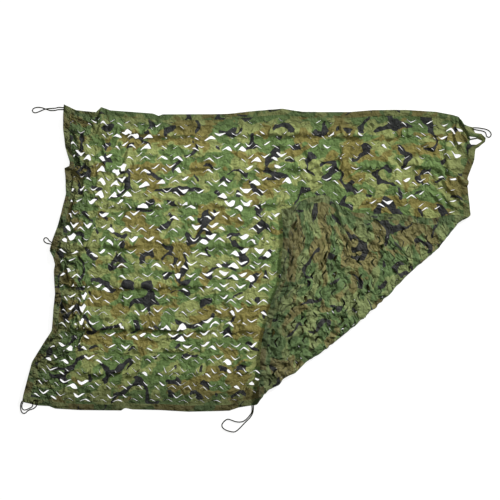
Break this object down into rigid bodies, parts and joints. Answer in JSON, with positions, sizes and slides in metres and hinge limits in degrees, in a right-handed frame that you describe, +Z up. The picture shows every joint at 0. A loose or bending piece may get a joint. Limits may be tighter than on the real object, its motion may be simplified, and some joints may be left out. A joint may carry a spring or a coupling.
{
  "type": "camouflage net",
  "caption": "Leaf-cut woodland camouflage net with a turned hem and cord loops, laid flat with one corner folded over.",
  "frame": {"origin": "on the surface that the net lies on, under the middle of the laid cloth without its cord loops", "axes": "+X along the laid net's long side, +Y towards its far long side, +Z up from the surface"},
  "size_m": [2.2408, 1.5621, 0.0257],
  "materials": {
    "printed_cloth": "thin woven polyester printed in green, olive, brown and black patches, matt with a faint sheen, duller on its underside",
    "braided_cord": "thin braided cord, dark olive, matt"
  },
  "bodies": {
    "root": {"net": "printed_cloth", "loop_top_left": "braided_cord", "loop_left_middle": "braided_cord", "loop_bottom_left": "braided_cord", "loop_bottom_middle": "braided_cord", "loop_top_right": "braided_cord"}
  },
  "joints": []
}
